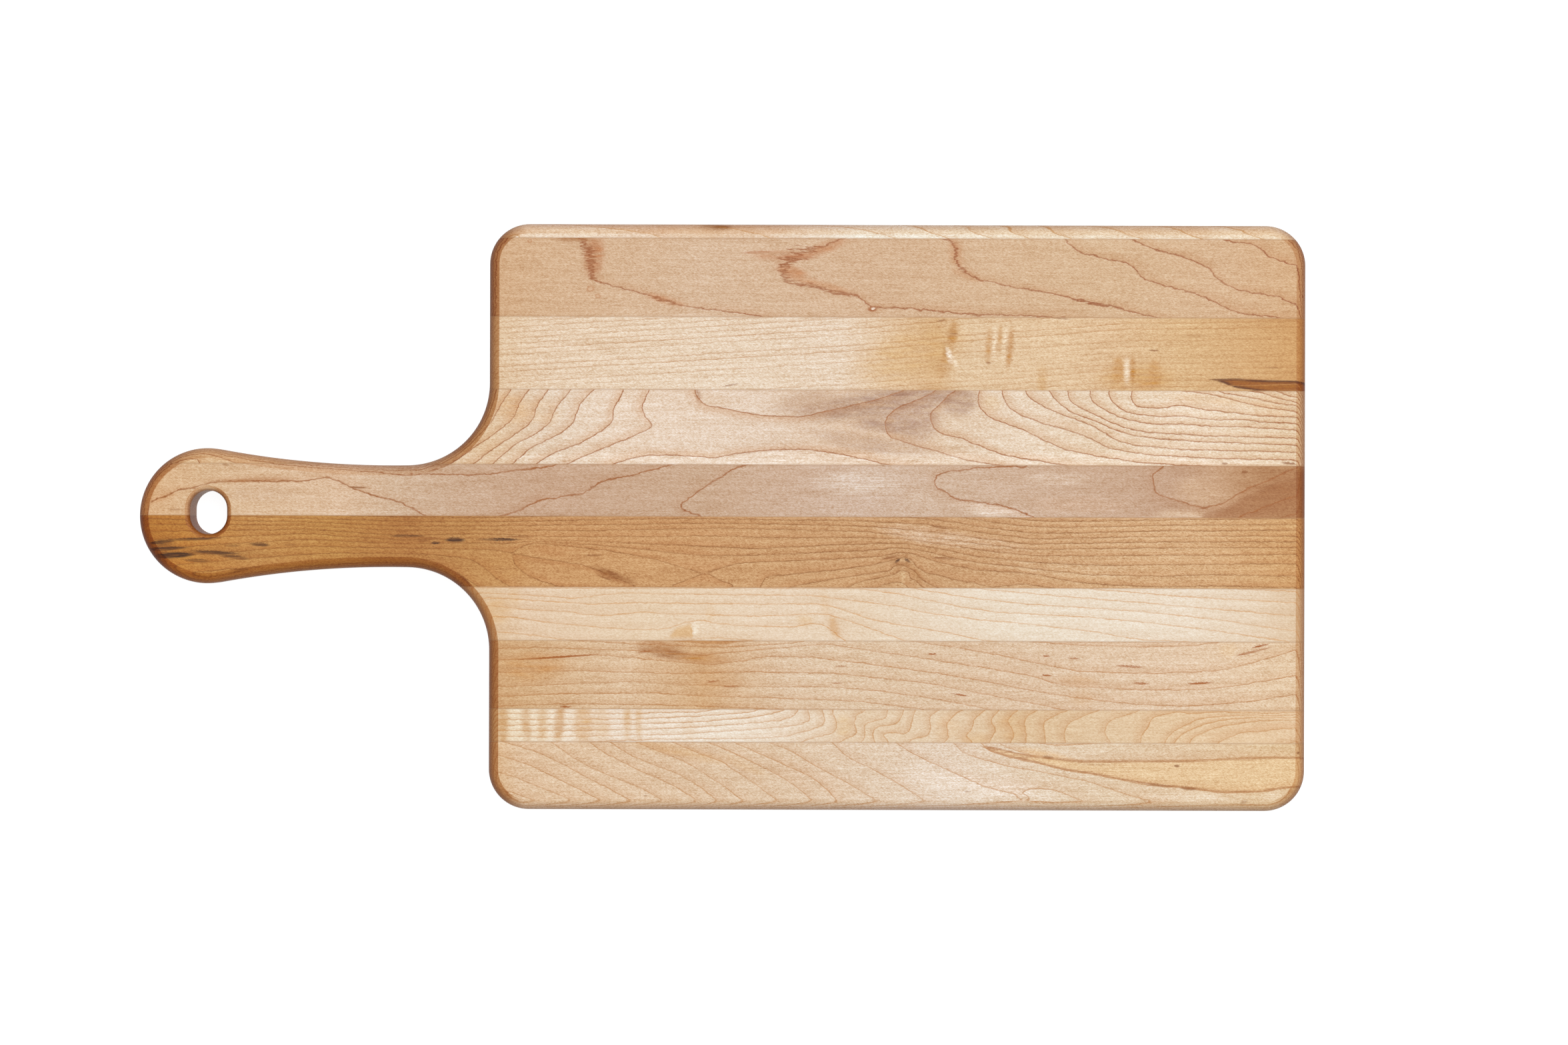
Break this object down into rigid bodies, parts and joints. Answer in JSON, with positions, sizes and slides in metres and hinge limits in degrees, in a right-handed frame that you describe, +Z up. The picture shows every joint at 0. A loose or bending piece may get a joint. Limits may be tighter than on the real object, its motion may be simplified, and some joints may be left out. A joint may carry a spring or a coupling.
{
  "type": "cutting board",
  "caption": "Paddle-shaped edge-glued hardwood cutting board with a waisted handle, a round knob and an oval hang hole.",
  "frame": {"origin": "middle of the underside: halfway along the overall length and across the width", "axes": "+X along the grain towards the plain end, with the handle towards -X; +Y across the staves; +Z up out of the cutting face"},
  "size_m": [0.508, 0.2552, 0.019],
  "materials": {
    "stave_1": "planed and oiled, satin",
    "stave_2": "planed and oiled, satin",
    "stave_3": "planed and oiled, satin",
    "stave_4": "planed and oiled, satin",
    "stave_5": "planed and oiled, satin",
    "stave_6": "planed and oiled, satin",
    "stave_7": "planed and oiled, satin",
    "stave_8": "planed and oiled, satin",
    "stave_9": "planed and oiled, satin",
    "stave_10": "planed and oiled, satin",
    "glue": "cured wood glue, cut flush"
  },
  "bodies": {
    "root": {"stave_1": "stave_1", "stave_2": "stave_2", "stave_3": "stave_3", "stave_4": "stave_4", "stave_4_knob_sliver": "stave_4", "stave_5": "stave_5", "stave_6": "stave_6", "stave_7": "stave_7", "stave_8": "stave_8", "stave_9": "stave_9", "stave_10": "stave_10", "glue_line_1": "glue", "glue_line_2": "glue", "glue_line_3": "glue", "glue_line_4": "glue", "glue_line_4_knob": "glue", "glue_line_5": "glue", "glue_line_5_knob_tip": "glue", "glue_line_6": "glue", "glue_line_7": "glue", "glue_line_8": "glue", "glue_line_9": "glue"}
  },
  "joints": []
}
